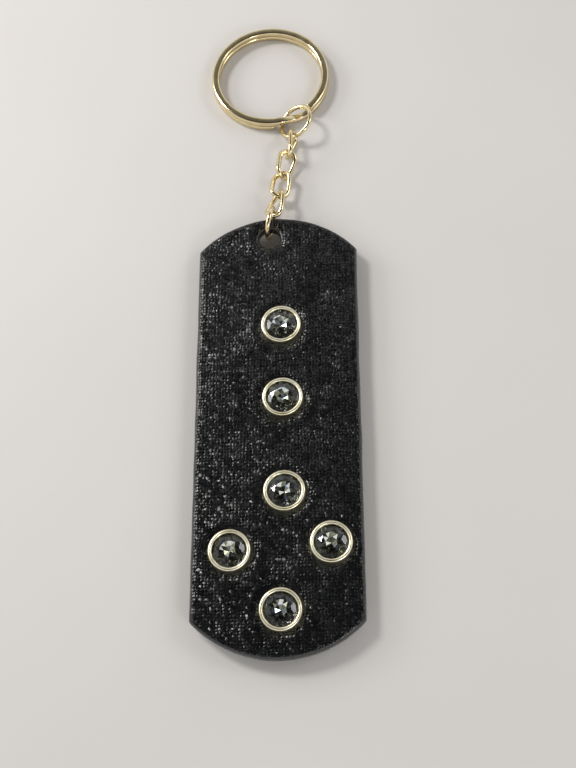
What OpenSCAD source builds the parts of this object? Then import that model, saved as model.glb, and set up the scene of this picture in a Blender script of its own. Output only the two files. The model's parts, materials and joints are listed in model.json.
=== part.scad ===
// Leather key fob with crystal rivets, a short chain and a split ring, lying on its back.
// X runs across the fob, Y from the fob towards the split ring, and Z is up.
// Z = 0 is the surface that it lies on; X = 0, Y = 0 is the middle of its outline.

/* [Leather panel] */
// Width of the panel
panel_w = 31.75; // [31:0.25:34]
// Length of the panel, apex to apex
panel_l = 88.9; // [88:0.1:92]
// Thickness of the leather
leather_t = 2.6; // [2.4:0.1:2.6]
// Radius of the curved end that hangs from the chain
chain_end_r = 20.7; // [19:0.1:24]
// Radius of the curved end below the crystals
free_end_r = 21.9; // [19:0.1:24]
// Width of the rounded-off edge
edge_bevel = 0.6; // [0.5:0.05:0.7]
// Diameter of the hanging hole
hole_d = 4.3; // [4.2:0.1:4.8]
// Sideways offset of the hanging hole
hole_x = -1.65; // [-2:0.05:-1.3]
// Distance of the hanging hole below the apex
hole_drop = 4.6; // [4.5:0.05:4.8]

/* [Crystal rivets] */
// Outside diameter of the rolled rim
rim_d = 7.8; // [7.4:0.1:8.2]
// Inside diameter of the rolled rim
rim_in_d = 6.3; // [6:0.1:6.5]
// Height of the rim above the leather
rim_h = 1.1; // [0.9:0.1:1.3]
// Diameter of the flat head at the back
head_d = 7.0; // [6.5:0.1:8]
// Thickness of the flat head at the back
head_t = 1.2; // [1.2:0.1:1.4]
// Diameter of the rivet's post
post_d = 2.2; // [2:0.1:2.4]
// Diameter of the crystal at its girdle
crystal_d = 6.6; // [6.4:0.1:6.6]
// Number of facets round the crystal's table
crystal_facets = 8; // [8]

/* [Chain] */
// Wire diameter of the fob ring and the links
wire_d = 1.0; // [0.9:0.05:1]
// Outside diameter of the ring through the leather
fob_ring_d = 7.0; // [6.95:0.05:7.05]
// Angle of that ring away from the fob's length
fob_ring_turn = 12; // [8:1:14]
// Outside length of a link
link_l = 7.15; // [7.1:0.05:7.2]
// Outside width of a link
link_w = 4.4; // [4.3:0.05:4.5]
// Twist from a link's middle to its end
link_twist = 22; // [20:1:24]
// Play between linked wires
link_gap = 0.08; // [0.06:0.01:0.1]
// Wire diameter of the jump ring
jump_wire_d = 0.9; // [0.85:0.05:0.9]
// Outside diameter of the jump ring
jump_ring_d = 8.2; // [8.1:0.05:8.3]
// Slant of the jump ring, its right side up
jump_slant = 31.5; // [31:0.5:32]

/* [Split ring] */
// Outside diameter of the split ring
split_d = 25.4; // [25:0.1:26]
// Width of its flattened wire
split_wire_w = 1.6; // [1.5:0.05:1.6]
// Height of its flattened wire
split_wire_h = 1.3; // [1.2:0.05:1.3]
// Direction of its crossing from one coil to the other
crossing_turn = -66; // [-68:1:-64]
// Half the angle that the crossing takes
crossing_half = 15; // [14:1:16]
// Half the angle between the free ends of the two coils
free_end_half = 20; // [19:1:21]

/* [Hidden] */

PALE_GOLD = [0.86, 0.79, 0.58];
BLACK_LEATHER = [0.05, 0.05, 0.06];
SMOKY_CRYSTAL = [0.45, 0.50, 0.55];

// A cut runs this far past its wall, so that it comes out clean.
cut = 0.5;

// Each rivet's place from the middle of the panel: three down the middle, two beside, one below.
rivet_places = [[0.7, 20], [1, 4.7], [1.3, -13.9], [-8.7, -25], [9.8, -23.7], [0.6, -35.8]];

// How each link lies, from the fob outwards: heading from Y, slope and roll.
link_lie = [[14, -7, 40], [7, -7, 0], [15, 3, -40], [12, -1, -89]];

// The ring through the leather stands over the leather between the hole and the edge.
fob_ring_x = -1.45;
fob_ring_drop = 1.15;
fob_ring_slit = 140;

// The jump ring climbs in this direction, and its middle is this far from the split ring's.
jump_rise_turn = -4;
jump_ring_slit = -62;
crossing_reach = 13.5;

// The crystal's levels, measured from the leather's face.
girdle_low = 0.25;
girdle_high = 0.4;
table_z = 1.15;
table_d = 3.9;
culet_z = -1.05;

// The rivet cap's rim, seat and tube, measured from the leather's face.
bead_r = (rim_d - rim_in_d) / 4;
foot_d = rim_d - 0.6;
foot_z = -0.1;
seat_d = crystal_d + 0.1;
seat_tip_z = culet_z - 0.05;
socket_top = seat_tip_z - 0.25;
shoulder_z = seat_tip_z - 0.35;
tube_d = post_d + 1;
tube_low = 0.2 - leather_t;
head_ease = 0.4;

leather_z = head_t;
leather_top = leather_z + leather_t;
hole_y = panel_l / 2 - hole_drop;

fob_r = (fob_ring_d - wire_d) / 2;
fob_mid = [fob_ring_x, panel_l / 2 - fob_ring_drop, fob_ring_d / 2];
end_r = (link_w - wire_d) / 2;
link_half = (link_l - wire_d) / 2;
jump_r = (jump_ring_d - jump_wire_d) / 2;
split_r = (split_d - split_wire_w) / 2;
wire_corner = 0.45;

function unit(v) = v / norm(v);
function along(heading, slope) =
    [sin(heading) * cos(slope), cos(heading) * cos(slope), sin(slope)];

// A link's own axes, from its place i in the chain: length, width and normal.
function length_axis(i) = along(link_lie[i][0], link_lie[i][1]);
function level_axis(i) = unit(cross(length_axis(i), [0, 0, 1]));
function width_axis(i) = let (roll = link_lie[i][2])
    level_axis(i) * cos(roll) + cross(level_axis(i), length_axis(i)) * sin(roll);
function normal_axis(i) = cross(width_axis(i), length_axis(i));

// Each link hangs on the wire before it, and its middle follows from that.
function hook_axis(i) = i == 0 ? along(fob_ring_turn, link_lie[0][1]) : length_axis(i - 1);
function hook(i) = i == 0 ? fob_mid + fob_r * hook_axis(0) : link_mid(i - 1) + link_half * length_axis(i - 1);
function link_mid(i) = hook(i) - (wire_d + link_gap) * hook_axis(i) + link_half * length_axis(i);

// The jump ring hangs on the last link, and the split ring's middle follows from the jump ring's.
last = len(link_lie) - 1;
jump_axis = [
    -sin(jump_slant) * cos(jump_rise_turn), -sin(jump_slant) * sin(jump_rise_turn), cos(jump_slant)
];
jump_near = hook(last + 1) - ((wire_d + jump_wire_d) / 2 + link_gap) * length_axis(last);
jump_to_link = unit((length_axis(last) * jump_axis) * jump_axis - length_axis(last));
jump_mid = jump_near - jump_r * jump_to_link;
split_mid = [
    jump_mid.x - crossing_reach * cos(crossing_turn),
    jump_mid.y - crossing_reach * sin(crossing_turn),
    0
];

// Middle of the outline along Y, from the panel's free end to the far side of the split ring.
middle_y = (split_mid.y + split_d / 2 - panel_l / 2) / 2;

module in_place() { translate([0, -middle_y, 0]) children(); }

module rivet_place(i) {
    translate([rivet_places[i - 1].x, rivet_places[i - 1].y, leather_top]) children();
}

// Everything on one side of a curved end, with its rim bevelled.
module curved_end(r, side) {
    translate([0, side * (panel_l / 2 - r), leather_z]) {
        rotate_extrude($fn = 180) polygon([
            [0, 0], [r - edge_bevel, 0], [r, edge_bevel],
            [r, leather_t - edge_bevel], [r - edge_bevel, leather_t], [0, leather_t]
        ]);
        translate([-panel_w, side > 0 ? -panel_l : 0, 0]) cube([2 * panel_w, panel_l, leather_t]);
    }
}

// The strap that the panel is cut from, with both long edges bevelled.
module strap() {
    side = panel_w / 2;
    translate([0, panel_l / 2, leather_z]) rotate([90, 0, 0]) linear_extrude(panel_l) polygon([
        [-side + edge_bevel, 0], [side - edge_bevel, 0], [side, edge_bevel],
        [side, leather_t - edge_bevel], [side - edge_bevel, leather_t],
        [-side + edge_bevel, leather_t], [-side, leather_t - edge_bevel], [-side, edge_bevel]
    ]);
}

// A round hole with both of its edges eased.
module hanging_hole() {
    wide = hole_d / 2 + edge_bevel + cut;
    translate([hole_x, hole_y, leather_z]) rotate_extrude($fn = 96) polygon([
        [0, -cut], [wide, -cut], [hole_d / 2, edge_bevel],
        [hole_d / 2, leather_t - edge_bevel], [wide, leather_t + cut], [0, leather_t + cut]
    ]);
}

// The funnel and bore that a rivet cap is pressed into.
module rivet_hole() {
    rotate_extrude($fn = 96) polygon([
        [0, -leather_t - cut], [tube_d / 2, -leather_t - cut], [tube_d / 2, shoulder_z],
        [foot_d / 2, foot_z], [foot_d / 2, cut], [0, cut]
    ]);
}

module leather_panel() {
    color(BLACK_LEATHER) in_place() difference() {
        intersection() {
            strap();
            curved_end(chain_end_r, 1);
            curved_end(free_end_r, -1);
        }
        hanging_hole();
        for (i = [1:len(rivet_places)]) rivet_place(i) rivet_hole();
    }
}

// A cup with a rolled rim that holds the crystal, and a tube for the post.
module rivet_cap(i) {
    bead = [
        for (a = [0:15:210])
            [rim_d / 2 - bead_r + bead_r * cos(a), rim_h - bead_r + bead_r * sin(a)]
    ];
    color(PALE_GOLD) in_place() rivet_place(i) rotate_extrude($fn = 96) polygon([
        [foot_d / 2, foot_z], [foot_d / 2, 0], [rim_d / 2, 0], each bead,
        [seat_d / 2, girdle_high], [seat_d / 2, girdle_low], [0, seat_tip_z], [0, socket_top],
        [post_d / 2, socket_top], [post_d / 2, tube_low], [tube_d / 2, tube_low],
        [tube_d / 2, shoulder_z]
    ]);
}

// A flat round head behind the leather, with the post that is pressed into the cap's tube.
module rivet_post(i) {
    color(PALE_GOLD) in_place() rivet_place(i) translate([0, 0, -leather_top]) {
        rotate_extrude($fn = 96) polygon([
            [0, 0], [head_d / 2 - head_ease, 0], [head_d / 2, head_ease], [head_d / 2, head_t],
            [0, head_t]
        ]);
        cylinder(d = post_d, h = leather_top + socket_top, $fn = 48);
    }
}

// A round brilliant: pointed pavilion, thin girdle and a crown up to the flat table.
module crystal(i) {
    sliver = 0.01;
    color(SMOKY_CRYSTAL) in_place() rivet_place(i) hull() {
        translate([0, 0, culet_z]) cylinder(d = sliver, h = sliver, $fn = crystal_facets);
        translate([0, 0, girdle_low])
            cylinder(d = crystal_d, h = girdle_high - girdle_low, $fn = 2 * crystal_facets);
        translate([0, 0, table_z]) rotate([0, 0, 180 / crystal_facets])
            cylinder(d = table_d, h = sliver, $fn = crystal_facets);
    }
}

// A ring of round wire in the XY plane, with a butt slit where its ends meet.
module wire_ring(r, wire, slit_turn) {
    slit = 0.08;
    difference() {
        rotate_extrude($fn = 120) translate([r, 0]) circle(d = wire, $fn = 32);
        rotate([0, 0, slit_turn]) translate([r, 0, 0])
            cube([2 * wire, slit, 2 * wire], center = true);
    }
}

module fob_ring() {
    color(PALE_GOLD) in_place() translate(fob_mid) rotate([0, 0, -fob_ring_turn])
        rotate([90, 0, 90]) wire_ring(fob_r, wire_d, fob_ring_slit);
}

module jump_ring() {
    color(PALE_GOLD) in_place() translate(jump_mid) rotate([0, 0, jump_rise_turn])
        rotate([0, -jump_slant, 0]) wire_ring(jump_r, jump_wire_d, jump_ring_slit);
}

// Closed skin over a list of rings that all have the same number of points.
module skin(rings, closed) {
    m = len(rings[0]);
    n = len(rings);
    sides = [
        for (i = [0:n - (closed ? 1 : 2)], j = [0:m - 1]) let (k = (i + 1) % n, l = (j + 1) % m)
            each [[i * m + j, i * m + l, k * m + l], [i * m + j, k * m + l, k * m + j]]
    ];
    ends = closed ? [] : [
        [for (j = [m - 1:-1:0]) j], [for (j = [0:m - 1]) (n - 1) * m + j]
    ];
    polyhedron([for (ring = rings, p = ring) p], concat(sides, ends), convexity = 6);
}

// Middle line of a twisted link in its own axes: two round ends and two straight sides.
function twisted(x, y) = let (a = link_twist / link_half * y) [x * cos(a), y, x * sin(a)];
function link_line(t) =
    twisted(end_r * cos(t), end_r * sin(t) + (sin(t) > 0 ? 1 : -1) * (link_half - end_r));
function in_link(i, p) =
    link_mid(i) + p.x * width_axis(i) + p.y * length_axis(i) + p.z * normal_axis(i);

module chain_link(i) {
    rings_round = 40;
    sides = 12;
    step = 360 / rings_round;
    color(PALE_GOLD) in_place() skin([
        for (k = [0:rings_round - 1]) let (
            t = (k + 0.5) * step,
            p = link_line(t),
            run = unit(link_line(t + step) - link_line(t - step)),
            turn = link_twist / link_half * p.y,
            out = unit(cross(run, [-sin(turn), 0, cos(turn)])),
            up = cross(out, run)
        ) [
            for (j = [0:sides - 1]) let (a = j * 360 / sides)
                in_link(i, p + wire_d / 2 * (out * cos(a) + up * sin(a)))
        ]
    ], true);
}

// Cross-section of the split ring's flattened wire.
module wire_section() {
    square([split_wire_w, split_wire_h - 2 * wire_corner], center = true);
    square([split_wire_w - 2 * wire_corner, split_wire_h], center = true);
    for (x = [-1, 1], z = [-1, 1])
        translate([x * (split_wire_w / 2 - wire_corner), z * (split_wire_h / 2 - wire_corner)])
            circle(r = wire_corner, $fn = 32);
}

// One coil of the split ring at the given height, from one angle over a sweep.
module coil(z, from, sweep) {
    translate([0, 0, z]) rotate([0, 0, from])
        rotate_extrude(angle = sweep, $fn = 180) translate([split_r, 0]) wire_section();
}

// The same section as points, a little smaller so that the crossing ends inside the coils.
function section_points(shrink) = [
    for (q = [0:3], s = [0:3]) let (
        a = q * 90 + s * 30,
        x = (q == 0 || q == 3 ? 1 : -1) * (split_wire_w / 2 - wire_corner),
        z = (q < 2 ? 1 : -1) * (split_wire_h / 2 - wire_corner)
    ) shrink * [x + wire_corner * cos(a), z + wire_corner * sin(a)]
];

function eased(k) = k * k * (3 - 2 * k);

// The stretch of wire that steps down from the upper coil to the lower one.
module crossing() {
    steps = 20;
    overlap = 0.5;
    half = crossing_half + overlap;
    skin([
        for (k = [0:steps]) let (
            off = half * (2 * k / steps - 1),
            part = min(1, max(0, (off / crossing_half + 1) / 2)),
            turn = crossing_turn + off,
            z = split_wire_h * (1.5 - eased(part))
        ) [
            for (p = section_points(0.99))
                [(split_r + p.x) * cos(turn), (split_r + p.x) * sin(turn), z + p.y]
        ]
    ], false);
}

module split_ring() {
    sweep = 360 - crossing_half - free_end_half;
    color(PALE_GOLD) in_place() translate(split_mid) {
        coil(split_wire_h * 0.5, crossing_turn + crossing_half, sweep);
        coil(split_wire_h * 1.5, crossing_turn + free_end_half, sweep);
        crossing();
    }
}

leather_panel();
for (i = [1:len(rivet_places)]) {
    rivet_cap(i);
    rivet_post(i);
    crystal(i);
}
fob_ring();
for (i = [0:last]) chain_link(i);
jump_ring();
split_ring();
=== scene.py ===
"""Leather key fob with crystal rivets, a short chain and a split ring, finished for close views."""

import json
import math
import random

import bmesh
import bpy
from bpy.props import FloatProperty, FloatVectorProperty, PointerProperty
from mathutils import Matrix, Vector, noise

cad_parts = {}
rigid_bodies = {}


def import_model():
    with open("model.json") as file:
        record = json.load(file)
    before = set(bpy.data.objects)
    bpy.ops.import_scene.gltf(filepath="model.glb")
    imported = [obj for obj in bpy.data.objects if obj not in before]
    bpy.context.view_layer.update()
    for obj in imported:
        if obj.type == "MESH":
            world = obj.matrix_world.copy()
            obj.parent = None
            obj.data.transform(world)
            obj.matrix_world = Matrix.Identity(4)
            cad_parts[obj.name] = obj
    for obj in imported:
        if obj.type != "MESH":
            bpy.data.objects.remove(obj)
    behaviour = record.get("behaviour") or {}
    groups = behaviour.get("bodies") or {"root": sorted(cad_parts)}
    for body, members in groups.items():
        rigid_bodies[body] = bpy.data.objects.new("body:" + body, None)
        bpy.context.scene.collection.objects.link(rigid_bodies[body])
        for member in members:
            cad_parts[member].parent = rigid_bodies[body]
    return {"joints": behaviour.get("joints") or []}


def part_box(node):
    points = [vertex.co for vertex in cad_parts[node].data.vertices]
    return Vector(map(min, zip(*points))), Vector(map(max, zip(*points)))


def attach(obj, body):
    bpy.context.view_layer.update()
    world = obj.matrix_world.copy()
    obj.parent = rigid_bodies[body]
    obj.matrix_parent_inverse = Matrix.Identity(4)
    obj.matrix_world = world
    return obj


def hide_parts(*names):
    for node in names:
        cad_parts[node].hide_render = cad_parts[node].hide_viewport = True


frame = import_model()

bl_info = {
    "name": "Crystal Rivet Key Fob",
    "version": (1, 0, 0),
    "blender": (4, 5, 0),
    "location": "3D View > Sidebar > Key Fob",
    "description": "Builds a leather key fob with crystal rivets, its chain and its split ring",
    "category": "Object",
}

MM = 0.001
RIVETS = range(1, 7)
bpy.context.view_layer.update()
JOINTS = {joint["name"]: joint for joint in frame["joints"]}

# Each link's place in the chain, from the fob outwards: body, CAD node, heading, slope and roll.
LINKS = (
    ("link_4", "chain_link_4", 14.0, -7.0, 40.0),
    ("link_3", "chain_link_3", 7.0, -7.0, 0.0),
    ("link_2", "chain_link_2", 15.0, 3.0, -40.0),
    ("link_1", "chain_link_1", 12.0, -1.0, -89.0),
)

UP = Vector((0.0, 0.0, 1.0))


def centre_mm(node):
    """Middle of a CAD node's box, in millimetres."""
    low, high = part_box(node)
    return (low + high) / 2 / MM


def size_mm(node):
    """Size of a CAD node's box, in millimetres."""
    low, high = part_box(node)
    return (high - low) / MM


LEATHER_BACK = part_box("leather_panel")[0].z / MM
LEATHER_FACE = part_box("leather_panel")[1].z / MM
RIVET_PLACES = [Vector((centre_mm(f"rivet_cap_{i}").x, centre_mm(f"rivet_cap_{i}").y)) for i in RIVETS]


# ---------------------------------------------------------------- sizes and colours

def length(name, text, value, low, high):
    """A length setting, given in millimetres and kept in metres."""
    return FloatProperty(
        name=name, description=text, default=value * MM, min=low * MM, max=high * MM,
        precision=5, unit="LENGTH", subtype="DISTANCE",
    )


def turn(name, text, value, low, high):
    """An angle setting, given in degrees and kept in radians."""
    return FloatProperty(
        name=name, description=text, default=math.radians(value), min=math.radians(low),
        max=math.radians(high), unit="ROTATION", subtype="ANGLE",
    )


def colour(name, text, value):
    """A colour setting."""
    return FloatVectorProperty(
        name=name, description=text, default=value, size=4, min=0.0, max=1.0, subtype="COLOR",
    )


class FobLeatherSettings(bpy.types.PropertyGroup):
    """Sizes of the leather panel and depth of its grain"""

    chain_end_radius: length("Chain End Radius", "Radius of the end that hangs from the chain", 20.7, 16, 40)
    free_end_radius: length("Free End Radius", "Radius of the end below the crystals", 21.9, 16, 40)
    edge_round: length("Edge Round", "How far the slicked edge is rounded", 0.6, 0.2, 1.2)
    edge_roll: length("Edge Roll", "How far the face falls away beside the edge", 0.24, 0, 0.6)
    hole_diameter: length("Hole Diameter", "Diameter of the hanging hole", 4.3, 3, 6)
    hole_side: length("Hole Side", "Sideways offset of the hanging hole", -1.65, -4, 4)
    hole_drop: length("Hole Drop", "Distance of the hanging hole below the end", 4.6, 4, 8)
    fineness: length("Mesh Fineness", "Size of the mesh cells in the leather", 0.31, 0.25, 1)
    dimple_depth: length("Dimple Depth", "How far each rivet pulls the leather down", 0.26, 0, 0.5)
    wave_height: length("Wave Height", "Height of the leather's slow waves", 0.1, 0, 0.3)
    grain_size: length("Grain Size", "Width of one pebble of the grain", 0.6, 0.2, 2)
    grain_depth: length("Grain Depth", "Depth of the creases in the grain", 0.16, 0, 1)
    face_colour: colour("Face Colour", "Colour of the grained face", (0.0035, 0.004, 0.004, 1.0))
    back_colour: colour("Back Colour", "Colour of the suede back", (0.016, 0.015, 0.015, 1.0))


class FobRivetSettings(bpy.types.PropertyGroup):
    """Sizes of the rivets' rims, heads and crystals"""

    rim_diameter: length("Rim Diameter", "Outside diameter of the rolled rim", 7.8, 6, 9)
    opening: length("Opening", "Inside diameter of the rolled rim", 6.3, 5, 7)
    rim_height: length("Rim Height", "Height of the rim above the leather", 1.1, 0.5, 2)
    head_diameter: length("Head Diameter", "Diameter of the flat head at the back", 7.0, 5, 9)
    post_diameter: length("Post Diameter", "Diameter of the post through the leather", 2.2, 1, 3)
    crystal_diameter: length("Crystal Diameter", "Diameter of the crystal at its girdle", 6.6, 5, 7)
    table_diameter: length("Table Diameter", "Diameter of the crystal's flat table", 3.7, 2, 5)
    unevenness: length("Unevenness", "How uneven the rolled rim is", 0.035, 0, 0.1)
    rim_colour: colour("Rim Colour", "Colour of the rims and heads", (1.0, 0.94, 0.72, 1.0))
    glass_colour: colour("Glass Colour", "Tint of the crystal", (0.86, 0.89, 0.9, 1.0))
    foil_colour: colour("Foil Colour", "Colour of the foil behind the crystal", (0.92, 0.93, 0.9, 1.0))


class FobChainSettings(bpy.types.PropertyGroup):
    """Sizes of the chain and its rings"""

    wire: length("Wire", "Wire diameter of the fob ring and the links", 1.0, 0.5, 2)
    fob_ring_diameter: length("Fob Ring Diameter", "Outside diameter of the ring through the leather", 7.0, 5, 9)
    fob_ring_turn: turn("Fob Ring Turn", "Angle of that ring away from the fob's length", 12, -45, 45)
    link_length: length("Link Length", "Outside length of a link", 7.15, 5, 10)
    link_width: length("Link Width", "Outside width of a link", 4.4, 3, 6)
    link_twist: turn("Link Twist", "Twist from a link's middle to its end", 22, 0, 45)
    jump_wire: length("Jump Ring Wire", "Wire diameter of the jump ring", 0.9, 0.5, 2)
    jump_diameter: length("Jump Ring Diameter", "Outside diameter of the jump ring", 8.2, 6, 12)
    jump_slant: turn("Jump Ring Slant", "Slant of the jump ring, its right side up", 31.5, 0, 60)
    jump_turn: turn("Jump Ring Turn", "Direction in which the jump ring climbs", -4, -45, 45)
    plate_colour: colour("Plate Colour", "Colour of the pale gold plating", (0.8, 0.68, 0.43, 1.0))


class FobSplitRingSettings(bpy.types.PropertyGroup):
    """Sizes of the split ring"""

    diameter: length("Diameter", "Outside diameter of the split ring", 25.4, 18, 35)
    wire_width: length("Wire Width", "Width of the flattened wire", 1.6, 1, 3)
    wire_height: length("Wire Height", "Height of the flattened wire", 1.3, 0.8, 2)
    wire_corner: length("Wire Corner", "Radius of the flattened wire's corners", 0.45, 0.1, 0.6)
    crossing_turn: turn("Crossing Turn", "Direction of the crossing between the coils", -66, -180, 180)
    crossing_half: turn("Crossing Half", "Half the angle that the crossing takes", 15, 8, 30)
    free_end_half: turn("Free End Half", "Half the angle between the coils' free ends", 20, 10, 40)


class FobStageSettings(bpy.types.PropertyGroup):
    """Floor, lights and camera"""

    camera_place: FloatVectorProperty(
        name="Camera Place", description="Where the camera stands", size=3,
        default=(0.01356, -0.10166, 0.20769), unit="LENGTH", subtype="TRANSLATION",
    )
    camera_turn: FloatVectorProperty(
        name="Camera Turn", description="How the camera is turned", size=3,
        default=(math.radians(22.509), math.radians(3.304), math.radians(-0.156)),
        unit="ROTATION", subtype="EULER",
    )
    lens: FloatProperty(name="Lens", description="Focal length in millimetres", default=54.05, min=10.0, max=200.0)
    floor_colour: colour("Floor Colour", "Colour of the plain floor", (0.66, 0.635, 0.61, 1.0))
    room_light: FloatProperty(name="Room Light", description="Brightness of the plain room", default=0.8, min=0.0, max=5.0)
    key_power: FloatProperty(name="Key Power", description="Power of the light at the upper left", default=1.1, min=0.0, unit="POWER")
    soft_power: FloatProperty(name="Soft Power", description="Power of the wide light at the left", default=0.7, min=0.0, unit="POWER")


# ---------------------------------------------------------------- materials

def node_in(tree, kind, inputs=None, **settings):
    """Adds a shader node, sets it and links or fills its inputs."""
    made = tree.nodes.new(kind)
    for name, value in settings.items():
        setattr(made, name, value)
    for name, value in (inputs or {}).items():
        if isinstance(value, bpy.types.NodeSocket):
            tree.links.new(value, made.inputs[name])
        else:
            made.inputs[name].default_value = value
    return made


def new_finish(name):
    """A new material, its node tree and its main shader."""
    finish = bpy.data.materials.new(name)
    finish.use_nodes = True
    return finish, finish.node_tree, finish.node_tree.nodes["Principled BSDF"]


def millimetres(tree, stretch=(1.0, 1.0, 1.0)):
    """The piece's own coordinates in millimetres."""
    place = node_in(tree, "ShaderNodeTexCoord")
    scale = tuple(s / MM for s in stretch)
    return node_in(tree, "ShaderNodeMapping", {"Vector": place.outputs["Object"], "Scale": scale}).outputs[0]


def graded(tree, value, stops):
    """A ramp of greys or colours over a value."""
    ramp = node_in(tree, "ShaderNodeValToRGB", {"Fac": value})
    points = ramp.color_ramp.elements
    while len(points) < len(stops):
        points.new(0.5)
    for point, (at, tone) in zip(points, stops):
        point.position = at
        point.color = tone if hasattr(tone, "__len__") else (tone, tone, tone, 1.0)
    return ramp.outputs["Color"]


def maths(tree, operation, first, second=0.0, clamp=False):
    """One step of arithmetic between two values."""
    made = node_in(tree, "ShaderNodeMath", {0: first, 1: second}, operation=operation, use_clamp=clamp)
    return made.outputs[0]


def speckle(tree, vector, scale, detail=2.0, rough=0.5):
    """Soft noise over the piece."""
    return node_in(
        tree, "ShaderNodeTexNoise", {"Vector": vector, "Scale": scale, "Detail": detail, "Roughness": rough}
    ).outputs["Fac"]


def leather_face_finish(sizes):
    """Black leather with a fine pebbled grain that glints, with painted shade in the grain's creases."""
    finish, tree, shader = new_finish("black_leather_face")
    place = millimetres(tree)
    drift = node_in(tree, "ShaderNodeTexNoise", {"Vector": place, "Scale": 0.55, "Detail": 2.0})
    swing = node_in(tree, "ShaderNodeVectorMath", {0: drift.outputs["Color"], 1: (-0.5, -0.5, -0.5)}, operation="ADD")
    wander = node_in(
        tree, "ShaderNodeVectorMath", {0: swing.outputs[0], 1: (0.3, 0.3, 0.3), 2: place}, operation="MULTIPLY_ADD"
    ).outputs[0]
    cells = MM / sizes.grain_size
    pebble = node_in(
        tree, "ShaderNodeTexVoronoi", {"Vector": wander, "Scale": cells, "Randomness": 0.9}, feature="F1",
    )
    dome = maths(tree, "MULTIPLY", pebble.outputs["Distance"], pebble.outputs["Distance"])
    lift = node_in(tree, "ShaderNodeSeparateColor", {"Color": pebble.outputs["Color"]}).outputs[0]
    slow = speckle(tree, place, 0.2, 3.0, 0.55)
    vigour = graded(tree, slow, [(0.3, 0.45), (0.65, 1.0)])
    dome = maths(tree, "MULTIPLY", dome, maths(tree, "ADD", 0.35, lift))
    fine = speckle(tree, place, 5.5, 2.0, 0.5)
    crease = node_in(
        tree, "ShaderNodeTexVoronoi", {"Vector": wander, "Scale": cells * 0.3, "Randomness": 1.0},
        feature="DISTANCE_TO_EDGE",
    ).outputs["Distance"]
    groove = maths(tree, "MINIMUM", maths(tree, "MULTIPLY", crease, 5.0), 1.0)
    height = maths(tree, "MULTIPLY", maths(tree, "MULTIPLY", dome, vigour), -1.0)
    height = maths(tree, "ADD", height, maths(tree, "MULTIPLY", fine, 0.07))
    height = maths(tree, "ADD", height, maths(tree, "MULTIPLY", groove, 0.08))
    height = maths(tree, "ADD", height, maths(tree, "MULTIPLY", slow, 0.5))
    skin = node_in(tree, "ShaderNodeNewGeometry").outputs["Normal"]
    tip = node_in(
        tree, "ShaderNodeVectorMath", {0: pebble.outputs["Color"], 1: (-0.5, -0.5, -0.5)}, operation="ADD"
    ).outputs[0]
    leaning = node_in(
        tree, "ShaderNodeVectorMath", {0: tip, 1: (0.34, 0.34, 0.34), 2: skin}, operation="MULTIPLY_ADD"
    ).outputs[0]
    leaning = node_in(tree, "ShaderNodeVectorMath", {0: leaning}, operation="NORMALIZE").outputs[0]
    bump = node_in(
        tree, "ShaderNodeBump",
        {"Strength": 1.0, "Distance": sizes.grain_depth, "Height": height, "Normal": leaning},
    )
    # Painted shade: the colour is darker in the grain's creases, and lighter or darker at random with the slow noise.
    dark = tuple(0.45 * c for c in sizes.face_colour[:3]) + (1.0,)
    pale = tuple(1.9 * c for c in sizes.face_colour[:3]) + (1.0,)
    tone = graded(tree, maths(tree, "MULTIPLY", groove, slow), [(0.1, dark), (0.45, tuple(sizes.face_colour)), (0.75, pale)])
    worn = graded(tree, speckle(tree, place, 0.35, 4.0, 0.6), [(0.3, 0.16), (0.7, 0.3)])
    tree.links.new(tone, shader.inputs["Base Color"])
    tree.links.new(worn, shader.inputs["Roughness"])
    tree.links.new(bump.outputs[0], shader.inputs["Normal"])
    shader.inputs["Specular IOR Level"].default_value = 0.4
    return finish


def leather_edge_finish():
    """Dyed and slicked edge, with the leather's layers just showing."""
    finish, tree, shader = new_finish("slicked_leather_edge")
    layers = speckle(tree, millimetres(tree, (0.5, 0.5, 3.5)), 1.0, 4.0, 0.6)
    pits = speckle(tree, millimetres(tree), 2.6, 3.0, 0.6)
    height = maths(tree, "ADD", maths(tree, "MULTIPLY", layers, 0.7), maths(tree, "MULTIPLY", pits, 0.5))
    bump = node_in(tree, "ShaderNodeBump", {"Strength": 0.7, "Distance": 0.05 * MM, "Height": height})
    tone = graded(tree, layers, [(0.35, (0.005, 0.005, 0.005, 1.0)), (0.7, (0.016, 0.014, 0.013, 1.0))])
    tree.links.new(tone, shader.inputs["Base Color"])
    tree.links.new(graded(tree, pits, [(0.3, 0.22), (0.7, 0.4)]), shader.inputs["Roughness"])
    tree.links.new(bump.outputs[0], shader.inputs["Normal"])
    shader.inputs["Coat Weight"].default_value = 0.6
    shader.inputs["Coat Roughness"].default_value = 0.18
    return finish


def leather_back_finish(sizes):
    """Napped suede at the back."""
    finish, tree, shader = new_finish("black_suede_back")
    place = millimetres(tree)
    nap = speckle(tree, millimetres(tree, (1.0, 0.35, 1.0)), 5.0, 4.0, 0.7)
    patch = speckle(tree, place, 0.3, 3.0, 0.6)
    bump = node_in(tree, "ShaderNodeBump", {"Strength": 0.9, "Distance": 0.09 * MM, "Height": nap})
    pale = tuple(2.3 * c for c in sizes.back_colour[:3]) + (1.0,)
    tone = graded(tree, maths(tree, "MULTIPLY", maths(tree, "ADD", nap, patch), 0.5), [(0.35, tuple(sizes.back_colour)), (0.65, pale)])
    tree.links.new(tone, shader.inputs["Base Color"])
    tree.links.new(graded(tree, patch, [(0.3, 0.78), (0.7, 0.95)]), shader.inputs["Roughness"])
    tree.links.new(bump.outputs[0], shader.inputs["Normal"])
    shader.inputs["Sheen Weight"].default_value = 0.25
    shader.inputs["Sheen Roughness"].default_value = 0.5
    return finish


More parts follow.
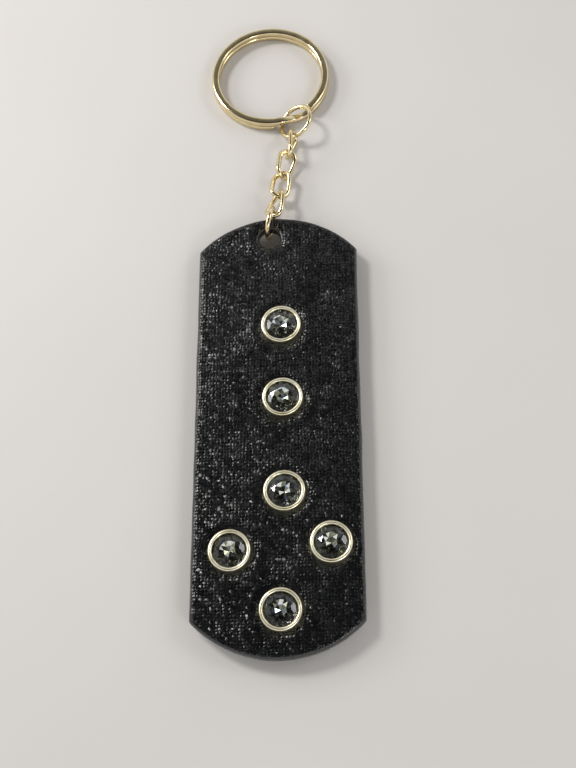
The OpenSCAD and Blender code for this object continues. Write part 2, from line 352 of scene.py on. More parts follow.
def plate_finish(name, base, smooth, worn, marks, stretch=(1.0, 1.0, 1.0)):
    """Polished pale gold plate with hairlines and slight waviness."""
    finish, tree, shader = new_finish(name)
    place = millimetres(tree)
    hair = speckle(tree, millimetres(tree, stretch), 5.0, 3.0, 0.65)
    ripple = speckle(tree, place, 0.9, 2.0, 0.5)
    cloud = speckle(tree, place, 0.45, 3.0, 0.6)
    height = maths(tree, "ADD", maths(tree, "MULTIPLY", ripple, 1.0), maths(tree, "MULTIPLY", hair, 0.12))
    bump = node_in(tree, "ShaderNodeBump", {"Strength": 0.5, "Distance": marks, "Height": height})
    deep = tuple(c * k for c, k in zip(base[:3], (0.86, 0.82, 0.7))) + (1.0,)
    tree.links.new(graded(tree, cloud, [(0.3, deep), (0.62, tuple(base))]), shader.inputs["Base Color"])
    tree.links.new(graded(tree, maths(tree, "MULTIPLY", maths(tree, "ADD", hair, cloud), 0.5), [(0.35, smooth), (0.68, worn)]), shader.inputs["Roughness"])
    tree.links.new(bump.outputs[0], shader.inputs["Normal"])
    shader.inputs["Metallic"].default_value = 1.0
    return finish


def glass_finish(sizes):
    """Clear, faintly smoky cut glass."""
    finish, tree, shader = new_finish("cut_glass")
    haze = speckle(tree, millimetres(tree), 1.1, 2.0, 0.5)
    base = tuple(sizes.glass_colour)
    warm = (base[0], base[1] * 0.985, base[2] * 0.94, 1.0)
    tree.links.new(graded(tree, haze, [(0.35, base), (0.7, warm)]), shader.inputs["Base Color"])
    tree.links.new(graded(tree, haze, [(0.3, 0.0), (0.8, 0.015)]), shader.inputs["Roughness"])
    shader.inputs["Transmission Weight"].default_value = 1.0
    shader.inputs["IOR"].default_value = 1.6
    return finish


def foil_finish(name, base):
    """Mirror foil behind one group of facets, with faint blue and straw patches that are painted tints of reflections.
    """
    finish, tree, shader = new_finish(name)
    patch = node_in(tree, "ShaderNodeTexVoronoi", {"Vector": millimetres(tree), "Scale": 1.3, "Randomness": 1.0}, feature="F1")
    split = node_in(tree, "ShaderNodeSeparateColor", {"Color": patch.outputs["Color"]})
    # Painted reflection: the blue and straw patches stand in for tinted reflections in the stone.
    blue = tuple(c * k for c, k in zip(base, (0.72, 0.86, 1.15))) + (1.0,)
    straw = tuple(c * k for c, k in zip(base, (1.08, 1.0, 0.72))) + (1.0,)
    plain = tuple(base) + (1.0,)
    tone = graded(tree, split.outputs[0], [(0.0, blue), (0.3, plain), (0.75, plain), (1.0, straw)])
    tree.links.new(tone, shader.inputs["Base Color"])
    tree.links.new(graded(tree, split.outputs[1], [(0.0, 0.01), (1.0, 0.05)]), shader.inputs["Roughness"])
    shader.inputs["Metallic"].default_value = 1.0
    return finish


def chain_plate():
    """The smooth plating of the chain and the split ring, made once."""
    base = bpy.context.scene.fob_chain.plate_colour
    return bpy.data.materials.get("pale_gold_plate") or plate_finish(
        "pale_gold_plate", base, 0.08, 0.2, 0.03 * MM, (1.0, 1.0, 1.0)
    )


def rim_plate():
    """The slightly duller plating of the rivets, made once."""
    base = bpy.context.scene.fob_rivets.rim_colour
    return bpy.data.materials.get("rolled_rim_plate") or plate_finish(
        "rolled_rim_plate", base, 0.26, 0.4, 0.05 * MM, (1.0, 1.0, 0.4)
    )


# ---------------------------------------------------------------- shaping

def merge_and_face_out(bm, distance=0.0005):
    """Closes seams and poles, and points the faces outwards."""
    bmesh.ops.remove_doubles(bm, verts=bm.verts, dist=distance)
    bmesh.ops.recalc_face_normals(bm, faces=bm.faces)


def turned(bm, profile, place, steps):
    """Turns (radius, height) points all round an upright axis at that place."""
    line = [bm.verts.new(place + Vector((r, 0.0, z))) for r, z in profile]
    edges = [bm.edges.new(pair) for pair in zip(line, line[1:])]
    bmesh.ops.spin(
        bm, geom=line + edges, cent=place, axis=UP, angle=math.tau, steps=steps,
        use_merge=True, use_duplicate=False,
    )
    merge_and_face_out(bm)


def rounded(middle, radius, start, end, step=15):
    """Points on an arc of a profile, by angle in degrees."""
    count = max(1, round(abs(end - start) / step))
    angles = [math.radians(start + (end - start) * k / count) for k in range(count + 1)]
    return [(middle[0] + radius * math.cos(a), middle[1] + radius * math.sin(a)) for a in angles]


def round_section(bm, diameter, place, sides=24):
    """A circle of edges across a wire that runs along Y at that place."""
    across = Matrix.Translation(place) @ Matrix.Rotation(math.radians(90), 4, "X")
    made = bmesh.ops.create_circle(bm, cap_ends=False, radius=diameter / 2, segments=sides, matrix=across)
    ring = made["verts"]
    edges = {edge for vert in ring for edge in vert.link_edges}
    return list(ring) + list(edges)


def swept(bm, geom, centre, angle, steps, rise=Vector((0.0, 0.0, 0.0))):
    """Sweeps a section round a centre, with a small rise at each step, and returns its new end."""
    made = bmesh.ops.spin(
        bm, geom=geom, cent=centre, axis=UP, dvec=rise, angle=angle, steps=steps,
        use_merge=False, use_duplicate=False,
    )
    return made["geom_last"]


def close_ends(bm, ease):
    """Closes a wire's open ends and eases their edges."""
    open_edges = [edge for edge in bm.edges if edge.is_boundary]
    caps = bmesh.ops.holes_fill(bm, edges=open_edges, sides=0)["faces"]
    bmesh.ops.recalc_face_normals(bm, faces=bm.faces)
    rims = list({edge for cap in caps for edge in cap.edges})
    bmesh.ops.bevel(
        bm, geom=rims, offset=ease, offset_type="OFFSET", segments=3, profile=0.5,
        affect="EDGES", material=-1,
    )


def open_ring(bm, radius, wire, slit_turn, slit=0.08):
    """A ring of round wire in the XY plane whose two ends almost meet."""
    half = slit / 2 / radius
    start = round_section(bm, wire, Vector((radius, 0.0, 0.0)))
    swept(bm, start, Vector((0.0, 0.0, 0.0)), math.tau - 2 * half, 110)
    close_ends(bm, 0.05)
    bmesh.ops.rotate(
        bm, verts=bm.verts, cent=(0.0, 0.0, 0.0), matrix=Matrix.Rotation(slit_turn + half, 3, "Z")
    )


def set_in_place(bm, matrix):
    """Moves and turns a whole mesh to its place."""
    bmesh.ops.transform(bm, matrix=matrix, verts=bm.verts)


def finish_piece(name, bm, finishes, body, nodes, sharp=35.0):
    """Makes a named piece from a mesh in millimetres, and puts it on its body."""
    bmesh.ops.scale(bm, vec=(MM, MM, MM), verts=bm.verts)
    mesh = bpy.data.meshes.new(name)
    bm.to_mesh(mesh)
    bm.free()
    for finish in finishes:
        mesh.materials.append(finish)
    mesh.shade_smooth()
    mesh.set_sharp_from_angle(angle=math.radians(sharp))
    piece = bpy.data.objects.new(name, mesh)
    bpy.context.scene.collection.objects.link(piece)
    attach(piece, body)
    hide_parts(*nodes)
    return piece


# ---------------------------------------------------------------- leather panel

def panel_blank(sizes):
    """The panel before its holes: two curved ends, straight sides and rounded edges."""
    bm = bmesh.new()
    half = size_mm("leather_panel").x / 2
    middle = centre_mm("leather_panel")
    half_length = size_mm("leather_panel").y / 2
    chain_r, free_r = sizes.chain_end_radius / MM, sizes.free_end_radius / MM
    chain_half, free_half = math.asin(half / chain_r), math.asin(half / free_r)
    chain_middle = Vector((0.0, half_length - chain_r, 0.0))
    free_middle = Vector((0.0, free_r - half_length, 0.0))
    first = bm.verts.new(chain_middle + chain_r * Vector((math.sin(chain_half), math.cos(chain_half), 0.0)))
    upper = swept(bm, [first], chain_middle, 2 * chain_half, 60)
    corner = bmesh.ops.extrude_vert_indiv(bm, verts=[v for v in upper if isinstance(v, bmesh.types.BMVert)])
    corner = corner["verts"][0]
    corner.co = free_middle + free_r * Vector((-math.sin(free_half), -math.cos(free_half), 0.0))
    lower = swept(bm, [corner], free_middle, 2 * free_half, 60)
    last = [v for v in lower if isinstance(v, bmesh.types.BMVert)][0]
    bm.edges.new((last, first))
    face = bmesh.ops.contextual_create(bm, geom=list(bm.edges))["faces"]
    walls = bmesh.ops.extrude_face_region(bm, geom=face)["geom"]
    raised = [v for v in walls if isinstance(v, bmesh.types.BMVert)]
    bmesh.ops.translate(bm, vec=(0.0, 0.0, LEATHER_FACE - LEATHER_BACK), verts=raised)
    bmesh.ops.translate(bm, vec=(middle.x, middle.y, LEATHER_BACK), verts=bm.verts)
    bmesh.ops.recalc_face_normals(bm, faces=bm.faces)
    level = [e for e in bm.edges if abs(e.verts[0].co.z - e.verts[1].co.z) < 0.01]
    bmesh.ops.bevel(
        bm, geom=level, offset=sizes.edge_round / MM, offset_type="OFFSET", segments=5, profile=0.5,
        affect="EDGES", material=-1,
    )
    return bm


def hole_place(sizes):
    """Middle of the hanging hole in the panel."""
    middle = centre_mm("leather_panel")
    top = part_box("leather_panel")[1].y / MM
    return Vector((middle.x + sizes.hole_side / MM, top - sizes.hole_drop / MM))


def hole_cutters(sizes, rivets):
    """The solids that the hanging hole and the rivets' holes are cut with."""
    bm = bmesh.new()
    ease, thick = 0.5, LEATHER_FACE - LEATHER_BACK
    r = sizes.hole_diameter / 2 / MM
    low = rounded((r + ease, ease), ease, 270, 180, 15)
    high = [(x, thick - z) for x, z in reversed(low)]
    at = hole_place(sizes)
    profile = [(0.0, -1.0), (r + ease, -1.0)] + low + high + [(r + ease, thick + 1.0), (0.0, thick + 1.0)]
    turned(bm, profile, Vector((at.x, at.y, LEATHER_BACK)), 72)
    tube = rivets.post_diameter / 2 / MM + 0.5
    for place in RIVET_PLACES:
        cut = [(0.0, -thick - 1.0), (tube, -thick - 1.0), (tube, -1.45), (3.5, -0.1), (3.5, 1.0), (0.0, 1.0)]
        turned(bm, cut, Vector((place.x, place.y, LEATHER_FACE)), 64)
    return bm


def temporary(name, bm):
    """A short-lived object, for modifiers to work on."""
    mesh = bpy.data.meshes.new(name)
    bm.to_mesh(mesh)
    bm.free()
    made = bpy.data.objects.new(name, mesh)
    bpy.context.scene.collection.objects.link(made)
    return made


def cut_and_evened(blank, cutters, fineness):
    """The blank with its holes cut, as an even mesh of small cells."""
    panel, tool = temporary("blank", blank), temporary("cutters", cutters)
    cut = panel.modifiers.new("Holes", "BOOLEAN")
    cut.operation, cut.solver, cut.object = "DIFFERENCE", "EXACT", tool
    even = panel.modifiers.new("Even", "REMESH")
    even.mode, even.voxel_size = "VOXEL", fineness
    calm = panel.modifiers.new("Calm", "SMOOTH")
    calm.factor, calm.iterations = 0.5, 4
    ready = panel.evaluated_get(bpy.context.evaluated_depsgraph_get())
    bm = bmesh.new()
    bm.from_mesh(ready.to_mesh())
    ready.to_mesh_clear()
    for spare in (panel, tool):
        bpy.data.objects.remove(spare)
    return bm


def ease_in(value):
    """A smooth step from 0 to 1."""
    value = min(1.0, max(0.0, value))
    return value * value * (3.0 - 2.0 * value)


def pull_and_wave(bm, sizes):
    """Pulls the leather down round each rivet and the hole, and lets it wave and its outline wander."""
    thick = LEATHER_FACE - LEATHER_BACK
    depth, wave = sizes.dimple_depth / MM, sizes.wave_height / MM
    hole = hole_place(sizes)
    middle = centre_mm("leather_panel")
    half = size_mm("leather_panel") / 2
    chain_r, free_r = sizes.chain_end_radius / MM, sizes.free_end_radius / MM
    chain_middle = Vector((middle.x, middle.y + half.y - chain_r))
    free_middle = Vector((middle.x, middle.y - half.y + free_r))
    for vert in bm.verts:
        p = vert.co
        share = (p.z - LEATHER_BACK) / thick
        face, back = ease_in(share * 1.6 - 0.6), ease_in(0.4 - share * 1.6)
        flat = Vector((p.x, p.y))
        drop, free = 0.0, 1.0
        for k, place in enumerate(RIVET_PLACES):
            away = flat - place
            gap = away.length - 3.7
            if gap > 6.0:
                continue
            bearing = math.atan2(away.y, away.x)
            pull = 1.0 + 0.45 * noise.noise(Vector((math.cos(bearing) * 1.8 + 7.0 * k, math.sin(bearing) * 1.8, 2.0)))
            ridge = 0.16 * noise.noise(Vector((math.cos(bearing) * 5.0, math.sin(bearing) * 5.0, 3.0 * k)))
            drop += depth * pull * math.exp(-(max(gap, 0.0) / 0.75) ** 1.5)
            drop -= depth * 0.3 * math.exp(-((gap - 1.9) / 0.9) ** 2)
            drop += depth * ridge * math.exp(-(max(gap, 0.0) / 2.2) ** 2)
            free = min(free, ease_in(gap / 5.0))
        away = (flat - hole).length - sizes.hole_diameter / 2 / MM
        if away < 5.0:
            drop += 0.24 * math.exp(-(max(away - 0.2, 0.0) / 0.7) ** 1.6) - 0.05 * math.exp(-((away - 1.9) / 0.7) ** 2)
        free = min(free, ease_in((away - 0.5) / 5.0))
        slow = noise.noise(Vector((p.x / 11.0, p.y / 13.0, 4.0))) + 0.35 * noise.noise(Vector((p.x / 3.5, p.y / 4.5, 9.0)))
        inside = half.x - abs(p.x - middle.x)
        if p.y > chain_middle.y:
            inside = min(inside, chain_r - (flat - chain_middle).length)
        if p.y < free_middle.y:
            inside = min(inside, free_r - (flat - free_middle).length)
        drop += sizes.edge_roll / MM * (1.0 - min(max(inside, 0.0) / 1.2, 1.0)) ** 2
        p.z += wave * slow * free * (face + 0.4 * back) - drop * face + 0.4 * drop * back
        side = max(abs(p.x - middle.x) - half.x + 2.0, 0.0) / 2.0
        end = max(abs(p.y - middle.y) - half.y + 6.0, 0.0) / 6.0
        if side > 0.0:
            p.x += math.copysign(0.16, p.x) * side * (noise.noise(Vector((p.y / 8.0, math.copysign(5.0, p.x), 1.0))) - 0.15)
        if end > 0.0 and away > 3.0:
            p.y += math.copysign(0.12, p.y - middle.y) * min(end, 1.0) * (noise.noise(Vector((p.x / 6.0, p.y / 20.0, 6.0))) - 0.2)


class FOB_OT_leather_panel(bpy.types.Operator):
    """Make the black leather panel with its holes, grain and slicked edges"""

    bl_idname = "fob.leather_panel"
    bl_label = "Leather Panel"

    def execute(self, context):
        sizes, rivets = context.scene.fob_leather, context.scene.fob_rivets
        bm = cut_and_evened(panel_blank(sizes), hole_cutters(sizes, rivets), sizes.fineness / MM)
        bm.normal_update()
        for face in bm.faces:
            lean = face.normal.z
            face.material_index = 0 if lean > 0.94 else 2 if lean < -0.8 else 1
        pull_and_wave(bm, sizes)
        finishes = [leather_face_finish(sizes), leather_edge_finish(), leather_back_finish(sizes)]
        finish_piece("leather_strap", bm, finishes, "fob", ["leather_panel"], sharp=180.0)
        return {"FINISHED"}


# ---------------------------------------------------------------- rivets and crystals

def uneven_rim(bm, place, depth, seed):
    """Makes a rolled rim a little uneven, with a few small nicks in its lip."""
    chance = random.Random(seed)
    nicks = [(chance.uniform(-math.pi, math.pi), chance.uniform(0.03, 0.06)) for _ in range(4)]
    for vert in bm.verts:
        away = vert.co - place
        if away.z < 0.15 or Vector((away.x, away.y)).length < 3.0:
            continue
        bearing = math.atan2(away.y, away.x)
        sway = noise.noise(Vector((math.cos(bearing) * 1.4, math.sin(bearing) * 1.4, seed * 3.7)))
        buzz = noise.noise(Vector((math.cos(bearing) * 6.0, math.sin(bearing) * 6.0, seed * 1.3 + away.z)))
        vert.co.z += depth * (sway + 0.5 * buzz) * ease_in(away.z / 0.6)
        out = Vector((math.cos(bearing), math.sin(bearing), 0.0))
        vert.co += out * depth * 0.6 * (sway - buzz * 0.4)
        for where, cut in nicks:
            near = math.remainder(bearing - where, math.tau) / 0.05
            if Vector((away.x, away.y)).length < 3.62:
                vert.co += out * cut * math.exp(-near * near)


class FOB_OT_rivet_rims(bpy.types.Operator):
    """Make the rivets' cups with their rolled rims"""

    bl_idname = "fob.rivet_rims"
    bl_label = "Rivet Rims"

    def execute(self, context):
        sizes = context.scene.fob_rivets
        outer, inner = sizes.rim_diameter / 2 / MM, sizes.opening / 2 / MM
        bead = (outer - inner) / 2
        high = sizes.rim_height / MM
        post = sizes.post_diameter / 2 / MM
        seat = sizes.crystal_diameter / 2 / MM + 0.05
        for i in RIVETS:
            bm = bmesh.new()
            place = Vector((*RIVET_PLACES[i - 1], LEATHER_FACE))
            profile = [
                (0.0, -1.35), (post, -1.35), (post, -2.4), (post + 0.5, -2.4), (post + 0.5, -1.45),
                (3.45, -0.34), (3.55, -0.32), (outer - 0.1, -0.31), (outer - 0.02, -0.27), (outer, -0.2),
            ]
            profile += rounded((outer - bead, high - bead), bead, 0, 212, 12)
            profile += [(seat, 0.42), (seat, 0.22), (0.69 * seat, -0.36), (0.35 * seat, -0.84), (0.0, -1.13)]
            turned(bm, profile, place, 144)
            uneven_rim(bm, place, sizes.unevenness / MM, i)
            finish_piece(f"rivet_rim_{i}", bm, [rim_plate()], "fob", [f"rivet_cap_{i}"])
        return {"FINISHED"}


class FOB_OT_rivet_heads(bpy.types.Operator):
    """Make the rivets' flat heads and posts at the back"""

    bl_idname = "fob.rivet_heads"
    bl_label = "Rivet Heads"

    def execute(self, context):
        sizes = context.scene.fob_rivets
        r, post = sizes.head_diameter / 2 / MM, sizes.post_diameter / 2 / MM
        for i in RIVETS:
            bm = bmesh.new()
            place = Vector((*RIVET_PLACES[i - 1], 0.0))
            profile = [(0.0, 0.1), (0.35, 0.09), (0.6, 0.03), (0.72, 0.0), (r - 0.9, 0.0), (r - 0.55, 0.01)]
            profile += rounded((r - 0.4, 0.42), 0.4, -80, 0, 10)
            profile += [(r, 1.3), (r - 0.08, 1.38), (post, 1.4), (post, 2.43), (0.0, 2.43)]
            turned(bm, profile, place, 96)
            finish_piece(f"rivet_head_{i}", bm, [rim_plate()], "fob", [f"rivet_post_{i}"])
        return {"FINISHED"}


def corners(bm, radius, height, count, offset, spot):
    """A ring of single points, which a crystal's facets are stretched over."""
    seat = spot @ Matrix.Translation((0.0, 0.0, height)) @ Matrix.Rotation(offset, 4, "Z")
    made = bmesh.ops.create_circle(bm, cap_ends=False, radius=radius, segments=count, matrix=seat)
    bmesh.ops.delete(bm, geom=list({e for v in made["verts"] for e in v.link_edges}), context="EDGES_FACES")


class FOB_OT_crystals(bpy.types.Operator):
    """Cut the crystals: table, star, kite and girdle facets over a foiled pavilion, with painted shade and painted
    dark reflections on some facets
    """

    bl_idname = "fob.crystals"
    bl_label = "Crystals"

    def execute(self, context):
        sizes = context.scene.fob_rivets
        girdle, table = sizes.crystal_diameter / 2 / MM, sizes.table_diameter / 2 / MM
        eighth = math.tau / 8
        fall = (1.15 - 0.4) / (girdle - table)
        star = table * math.cos(eighth / 2) + 0.5 * (girdle - table * math.cos(eighth / 2))
        star_height = 1.15 - fall * (star * math.cos(eighth / 2) - table)
        bright = Vector(sizes.foil_colour[:3])
        # Painted shade and painted dark reflection: an olive-tinted darker copy and a near-black copy of the mirror
        # foil.
        finishes = [
            glass_finish(sizes), foil_finish("bright_foil", bright),
            foil_finish("painted_shade_foil", bright * Vector((0.3, 0.3, 0.22))),
            foil_finish("painted_dark_reflection_foil", bright * Vector((0.045, 0.04, 0.028))),
        ]
        for i in RIVETS:
            bm = bmesh.new()
            chance = random.Random(40 + i)
            spot = Matrix.Translation((*RIVET_PLACES[i - 1], LEATHER_FACE)) @ Matrix.Rotation(
                chance.uniform(0.0, math.tau), 4, "Z"
            )
            rings = (
                (table, 1.15, 8, 0.0), (star, star_height, 8, eighth / 2), (girdle, 0.4, 16, 0.0),
                (girdle, 0.25, 16, 0.0), (0.8 * girdle, -0.08, 16, eighth / 4),
                (0.58 * girdle, -0.42, 16, 0.0), (0.33 * girdle, -0.75, 8, eighth / 2),
            )
            for radius, height, count, offset in rings:
                corners(bm, radius, height, count, offset, spot)
            bm.verts.new(spot @ Vector((0.0, 0.0, -1.04)))
            bmesh.ops.convex_hull(bm, input=bm.verts)
            bmesh.ops.dissolve_limit(bm, angle_limit=math.radians(1.5), verts=bm.verts, edges=bm.edges)
            bmesh.ops.recalc_face_normals(bm, faces=bm.faces)
            # Each pavilion facet takes the plain mirror foil or, at random, a copy with painted shade or a painted
            # dark reflection.
            for face in bm.faces:
                if face.normal.z < -0.2:
                    face.material_index = chance.choice((1, 1, 1, 2, 2, 2, 3, 3))
            piece = finish_piece(f"cut_crystal_{i}", bm, finishes, "fob", [f"crystal_{i}"])
            piece.data.shade_flat()
        return {"FINISHED"}


# ---------------------------------------------------------------- chain

def heading_axis(heading, slope):
    """Unit direction with that heading from Y towards X, and that slope."""
    h, s = math.radians(heading), math.radians(slope)
    return Vector((math.sin(h) * math.cos(s), math.cos(h) * math.cos(s), math.sin(s)))


def link_axes(heading, slope, roll):
    """A link's width, length and normal directions."""
    along = heading_axis(heading, slope)
    level = along.cross(UP).normalized()
    r = math.radians(roll)
    across = level * math.cos(r) + level.cross(along) * math.sin(r)
    return across, along, across.cross(along)


class FOB_OT_fob_ring(bpy.types.Operator):
    """Make the ring that goes through the leather"""

    bl_idname = "fob.fob_ring"
    bl_label = "Fob Ring"

    def execute(self, context):
        sizes = context.scene.fob_chain
        wire = sizes.wire / MM
        bm = bmesh.new()
        open_ring(bm, (sizes.fob_ring_diameter / MM - wire) / 2, wire, math.radians(140))
        upright = Matrix.Rotation(math.radians(90), 4, "Z") @ Matrix.Rotation(math.radians(90), 4, "X")
        set_in_place(bm, Matrix.Translation(centre_mm("fob_ring")) @ Matrix.Rotation(-sizes.fob_ring_turn, 4, "Z") @ upright)
        finish_piece("loop_ring", bm, [chain_plate()], "fob_ring", ["fob_ring"])
        return {"FINISHED"}


class FOB_OT_links(bpy.types.Operator):
    """Make the four twisted links"""

    bl_idname = "fob.links"
    bl_label = "Chain Links"

    def execute(self, context):
        sizes = context.scene.fob_chain
        wire = sizes.wire / MM
        end = (sizes.link_width / MM - wire) / 2
        half = (sizes.link_length / MM - wire) / 2
        straight = half - end
        joints = ["link_3_swing", "link_2_swing", "link_1_swing", "jump_ring_swing"]
        for (body, node, heading, slope, roll), joint in zip(LINKS, joints):
            bm = bmesh.new()
            geom = round_section(bm, wire, Vector((end, straight, 0.0)))
            far, near = Vector((0.0, straight, 0.0)), Vector((0.0, -straight, 0.0))
            geom = swept(bm, geom, far, math.pi, 26)
            geom = swept(bm, geom, far, 0.0, 8, Vector((0.0, -straight / 4, 0.0)))
            geom = swept(bm, geom, near, math.pi, 26)
            swept(bm, geom, near, 0.0, 8, Vector((0.0, straight / 4, 0.0)))
            merge_and_face_out(bm, 0.004)
            for vert in bm.verts:
                spin = Matrix.Rotation(-sizes.link_twist / half * vert.co.y, 3, "Y")
                vert.co = spin @ vert.co
            across, along, normal = link_axes(heading, slope, roll)
            middle = Vector(JOINTS[joint]["pos_m"]) / MM - half * along
            axes = Matrix((across, along, normal)).transposed().to_4x4()
            set_in_place(bm, Matrix.Translation(middle) @ axes)
            finish_piece(f"twisted_{node[6:]}", bm, [chain_plate()], body, [node])
        return {"FINISHED"}


class FOB_OT_jump_ring(bpy.types.Operator):
    """Make the jump ring between the chain and the split ring"""

    bl_idname = "fob.jump_ring"
    bl_label = "Jump Ring"

    def execute(self, context):
        sizes = context.scene.fob_chain
        wire = sizes.jump_wire / MM
        bm = bmesh.new()
        open_ring(bm, (sizes.jump_diameter / MM - wire) / 2, wire, math.radians(-62))
        lean = Matrix.Rotation(sizes.jump_turn, 4, "Z") @ Matrix.Rotation(-sizes.jump_slant, 4, "Y")
        set_in_place(bm, Matrix.Translation(centre_mm("jump_ring")) @ lean)
        finish_piece("open_jump_ring", bm, [chain_plate()], "jump_ring", ["jump_ring"])
        return {"FINISHED"}


class FOB_OT_split_ring(bpy.types.Operator):
    """Make the split ring: two coils of flattened wire and the crossing between them"""

    bl_idname = "fob.split_ring"
    bl_label = "Split Ring"

    def execute(self, context):
        sizes = context.scene.fob_split_ring
        wide, high = sizes.wire_width / MM, sizes.wire_height / MM
        radius = (sizes.diameter / MM - wide) / 2
        bm = bmesh.new()
        stand = Matrix.Translation((radius, 0.0, 1.5 * high)) @ Matrix.Rotation(math.radians(90), 4, "X")
        bmesh.ops.create_grid(
            bm, x_segments=1, y_segments=1, size=0.5, matrix=stand @ Matrix.Diagonal((wide, high, 1.0, 1.0))
        )
        bmesh.ops.bevel(
            bm, geom=list(bm.verts), offset=sizes.wire_corner / MM, offset_type="OFFSET", segments=5,
            profile=0.5, affect="VERTICES", material=-1,
        )
        bmesh.ops.delete(bm, geom=list(bm.faces), context="FACES_ONLY")
        axis = Vector((0.0, 0.0, 0.0))
        sweep = math.tau - sizes.crossing_half - sizes.free_end_half
        geom = swept(bm, list(bm.verts) + list(bm.edges), axis, sweep, 150)
        steps = 24
        for k in range(steps):
            fall = high * (ease_in((k + 1) / steps) - ease_in(k / steps))
            geom = swept(bm, geom, axis, 2 * sizes.crossing_half / steps, 1, Vector((0.0, 0.0, -fall)))
        swept(bm, geom, axis, sweep, 150)
        close_ends(bm, 0.14)
        start = sizes.crossing_turn + sizes.free_end_half
        middle = centre_mm("split_ring")
        set_in_place(bm, Matrix.Translation((middle.x, middle.y, 0.0)) @ Matrix.Rotation(start, 4, "Z"))
        finish_piece("coiled_split_ring", bm, [chain_plate()], "split_ring", ["split_ring"])
        return {"FINISHED"}


# ---------------------------------------------------------------- stage

def soft_light(name, place, aim, wide, deep, power, tint=(1.0, 1.0, 1.0)):
    """A rectangular soft light that points at a spot."""
    lamp = bpy.data.lights.new(name, "AREA")
    lamp.shape, lamp.size, lamp.size_y = "RECTANGLE", wide, deep
    lamp.energy, lamp.color = power, tint
    made = bpy.data.objects.new(name, lamp)
    made.location = place
    made.rotation_euler = (Vector(aim) - Vector(place)).to_track_quat("-Z", "Y").to_euler()
    bpy.context.scene.collection.objects.link(made)
    return made


class FOB_OT_stage(bpy.types.Operator):
    """Set up the plain floor, the soft lights and the camera"""

    bl_idname = "fob.stage"
    bl_label = "Stage"

    def execute(self, context):
        scene, sizes = context.scene, context.scene.fob_stage
        bm = bmesh.new()
        bmesh.ops.create_grid(bm, x_segments=8, y_segments=8, size=8.0)
        bmesh.ops.translate(bm, vec=(0.0, 0.0, -0.02 * MM), verts=bm.verts)
        mesh = bpy.data.meshes.new("plain_floor")
        bm.to_mesh(mesh)
        bm.free()
        floor = bpy.data.objects.new("plain_floor", mesh)
        scene.collection.objects.link(floor)
        finish, tree, shader = new_finish("matte_floor")
        tone = speckle(tree, millimetres(tree), 0.02, 2.0, 0.5)
        base = tuple(sizes.floor_colour)
        dim = tuple(0.97 * c for c in base[:3]) + (1.0,)
        tree.links.new(graded(tree, tone, [(0.3, dim), (0.7, base)]), shader.inputs["Base Color"])
        shader.inputs["Roughness"].default_value = 0.7
        mesh.materials.append(finish)

        room = bpy.data.worlds.new("plain_room")
        room.use_nodes = True
        tree = room.node_tree
        outward = node_in(tree, "ShaderNodeTexCoord").outputs["Generated"]
        height = node_in(tree, "ShaderNodeSeparateXYZ", {"Vector": outward}).outputs["Z"]
        walls = graded(tree, height, [(0.0, 0.5), (0.22, 1.3), (0.5, 1.2), (0.76, 0.25), (1.0, 0.05)])
        background = tree.nodes["Background"]
        tree.links.new(walls, background.inputs["Color"])
        background.inputs["Strength"].default_value = sizes.room_light
        scene.world = room

        key, soft = sizes.key_power, sizes.soft_power
        soft_light("key_light", (-0.28, 0.2, 0.36), (0.0, 0.0, 0.0), 0.11, 0.11, key, (1.0, 0.985, 0.96))
        soft_light("wide_light", (-0.42, 0.16, 0.2), (0.0, 0.0, 0.0), 0.24, 0.14, soft)
        soft_light("side_light", (0.36, 0.1, 0.3), (0.0, 0.0, 0.0), 0.14, 0.14, 0.4 * soft)
        soft_light("edge_light", (0.21, -0.3, 0.26), (0.0, 0.0, 0.0), 0.08, 0.08, 0.35 * soft)

        camera_data = bpy.data.cameras.new("camera")
        camera_data.lens, camera_data.sensor_width = sizes.lens, 36.0
        camera_data.dof.use_dof = False
        camera_data.clip_start, camera_data.clip_end = 0.005, 40.0
        camera = bpy.data.objects.new("camera", camera_data)
        camera.location = sizes.camera_place
        camera.rotation_euler = sizes.camera_turn
        scene.collection.objects.link(camera)
        scene.camera = camera
        scene.view_settings.view_transform = "Standard"
        return {"FINISHED"}


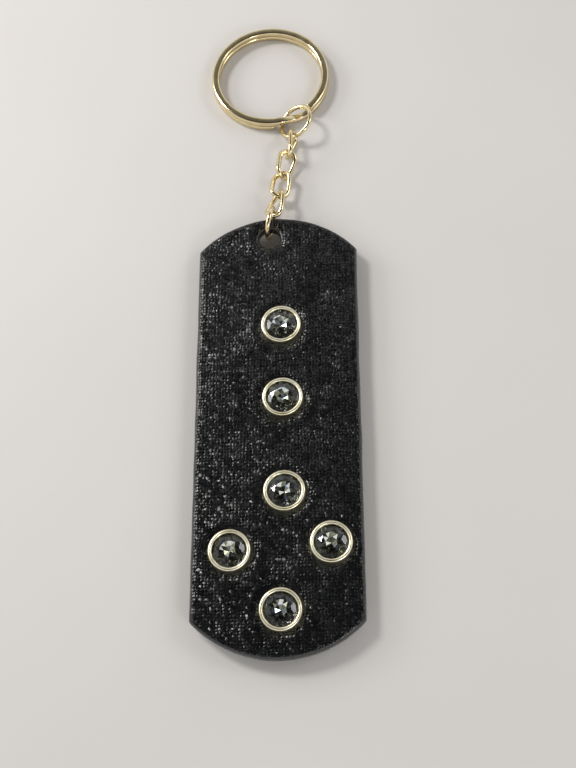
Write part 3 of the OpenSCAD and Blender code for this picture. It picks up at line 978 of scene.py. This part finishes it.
class FOB_PT_pieces(bpy.types.Panel):
    """Lists the fob's pieces in the order that they are made"""

    bl_idname = "FOB_PT_pieces"
    bl_label = "Key Fob"
    bl_space_type = "VIEW_3D"
    bl_region_type = "UI"
    bl_category = "Key Fob"

    def draw(self, context):
        for group, operators in PARTS:
            box = self.layout.box()
            for operator in operators:
                box.operator(operator.bl_idname)
            settings = getattr(context.scene, group)
            for name in settings.__annotations__:
                box.prop(settings, name)


PARTS = (
    ("fob_leather", (FOB_OT_leather_panel,)),
    ("fob_rivets", (FOB_OT_rivet_rims, FOB_OT_rivet_heads, FOB_OT_crystals)),
    ("fob_chain", (FOB_OT_fob_ring, FOB_OT_links, FOB_OT_jump_ring)),
    ("fob_split_ring", (FOB_OT_split_ring,)),
    ("fob_stage", (FOB_OT_stage,)),
)
SETTINGS = {
    "fob_leather": FobLeatherSettings,
    "fob_rivets": FobRivetSettings,
    "fob_chain": FobChainSettings,
    "fob_split_ring": FobSplitRingSettings,
    "fob_stage": FobStageSettings,
}


def register():
    """Adds the settings, the operators and the panel."""
    for name, group in SETTINGS.items():
        bpy.utils.register_class(group)
        setattr(bpy.types.Scene, name, PointerProperty(type=group))
    for _, operators in PARTS:
        for operator in operators:
            bpy.utils.register_class(operator)
    bpy.utils.register_class(FOB_PT_pieces)


def unregister():
    """Takes the settings, the operators and the panel away again."""
    bpy.utils.unregister_class(FOB_PT_pieces)
    for _, operators in reversed(PARTS):
        for operator in reversed(operators):
            bpy.utils.unregister_class(operator)
    for name, group in SETTINGS.items():
        delattr(bpy.types.Scene, name)
        bpy.utils.unregister_class(group)


def main():
    """Builds every piece and the stage."""
    for leftover in [o for o in bpy.data.objects if o.type in {"LIGHT", "CAMERA"} or o.name == "Cube"]:
        bpy.data.objects.remove(leftover)
    register()
    bpy.ops.fob.leather_panel()
    bpy.ops.fob.rivet_rims()
    bpy.ops.fob.rivet_heads()
    bpy.ops.fob.crystals()
    bpy.ops.fob.fob_ring()
    bpy.ops.fob.links()
    bpy.ops.fob.jump_ring()
    bpy.ops.fob.split_ring()
    bpy.ops.fob.stage()
    bpy.context.view_layer.update()


if __name__ == "__main__":
    main()
